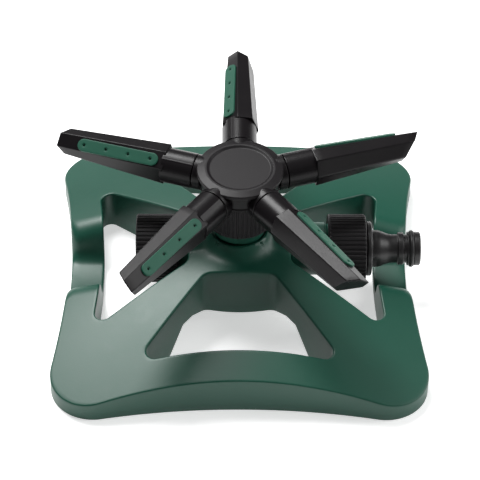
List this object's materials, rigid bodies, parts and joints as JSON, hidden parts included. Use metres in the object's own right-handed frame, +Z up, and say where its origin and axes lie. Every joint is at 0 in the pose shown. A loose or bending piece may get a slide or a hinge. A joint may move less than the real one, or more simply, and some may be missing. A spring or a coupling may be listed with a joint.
{
  "type": "rotary lawn sprinkler",
  "caption": "Rotary lawn sprinkler: drilled hexagonal spray arms on a spinning hub, over a square openwork moulded base with a quick-connect hose inlet and a ribbed end cap.",
  "frame": {"origin": "on the ground, under the vertical axis of the rotor", "axes": "+Z up along the rotor axis, +X along the water pipe towards the hose inlet, +Y to the back"},
  "size_m": [0.19, 0.1917, 0.0842],
  "materials": {
    "green_plastic": "dark green moulded plastic, fine satin texture",
    "strip_plastic": "mid green moulded plastic, matte",
    "black_plastic": "black moulded plastic, satin",
    "rubber_seal": "black nitrile rubber",
    "white_washer": "natural low-friction washer",
    "screw_steel": "plated steel screw"
  },
  "bodies": {
    "base": {"base": "green_plastic", "water_tee": "green_plastic", "tee_screws": "screw_steel", "rotor_nut": "black_plastic", "riser_seal": "rubber_seal", "thrust_washer": "white_washer"},
    "rotor": {"rotor_spindle": "black_plastic", "hub_body": "black_plastic", "hub_cap": "black_plastic", "hub_cap_seal": "rubber_seal", "arm_o_rings": "rubber_seal"},
    "inlet_adapter": {"inlet_nipple": "black_plastic", "nipple_o_ring": "rubber_seal", "inlet_washer": "rubber_seal"},
    "hose_nut": {"hose_nut": "black_plastic"},
    "cap_seal": {"end_cap_washer": "rubber_seal"},
    "end_cap": {"end_cap": "black_plastic"},
    "arm_1": {"arm_1": "black_plastic", "spray_strip_1": "strip_plastic"},
    "arm_2": {"arm_2": "black_plastic", "spray_strip_2": "strip_plastic"},
    "arm_3": {"arm_3": "black_plastic", "spray_strip_3": "strip_plastic"},
    "arm_4": {"arm_4": "black_plastic", "spray_strip_4": "strip_plastic"},
    "arm_5": {"arm_5": "black_plastic", "spray_strip_5": "strip_plastic"}
  },
  "joints": [
    {"name": "rotor_spin", "type": "hinge", "parent": "base", "child": "rotor", "pos_m": [0, 0, 0.0745], "axis": [0, 0, 1], "continuous": true},
    {"name": "arm_1_twist", "type": "hinge", "parent": "rotor", "child": "arm_1", "pos_m": [0, 0.0236, 0.0745], "axis": [0, 1, 0], "range_deg": [-45, 135]},
    {"name": "arm_2_twist", "type": "hinge", "parent": "rotor", "child": "arm_2", "pos_m": [-0.02244, 0.00729, 0.0745], "axis": [-0.9511, 0.309, 0], "range_deg": [-45, 135]},
    {"name": "arm_3_twist", "type": "hinge", "parent": "rotor", "child": "arm_3", "pos_m": [-0.01387, -0.01909, 0.0745], "axis": [-0.5878, -0.809, 0], "range_deg": [-45, 135]},
    {"name": "arm_4_twist", "type": "hinge", "parent": "rotor", "child": "arm_4", "pos_m": [0.01387, -0.01909, 0.0745], "axis": [0.5878, -0.809, 0], "range_deg": [-45, 135]},
    {"name": "arm_5_twist", "type": "hinge", "parent": "rotor", "child": "arm_5", "pos_m": [0.02244, 0.00729, 0.0745], "axis": [0.9511, 0.309, 0], "range_deg": [-45, 135]},
    {"name": "inlet_back_off", "type": "slide", "parent": "base", "child": "inlet_adapter", "axis": [1, 0, 0], "range_m": [0, 0.0128]},
    {"name": "hose_nut_turn", "type": "hinge", "parent": "inlet_adapter", "child": "hose_nut", "pos_m": [0.0557, 0, 0.0274], "axis": [1, 0, 0], "range_deg": [0, 2520]},
    {"name": "cap_back_off", "type": "slide", "parent": "base", "child": "cap_seal", "axis": [-1, 0, 0], "range_m": [0, 0.0164]},
    {"name": "end_cap_turn", "type": "hinge", "parent": "cap_seal", "child": "end_cap", "pos_m": [-0.0422, 0, 0.0274], "axis": [-1, 0, 0], "range_deg": [0, 3240]}
  ],
  "couplings": [
    {"joint": "inlet_back_off", "follows": "hose_nut_turn", "m_per_rad": 0.00028871},
    {"joint": "cap_back_off", "follows": "end_cap_turn", "m_per_rad": 0.00028871}
  ]
}
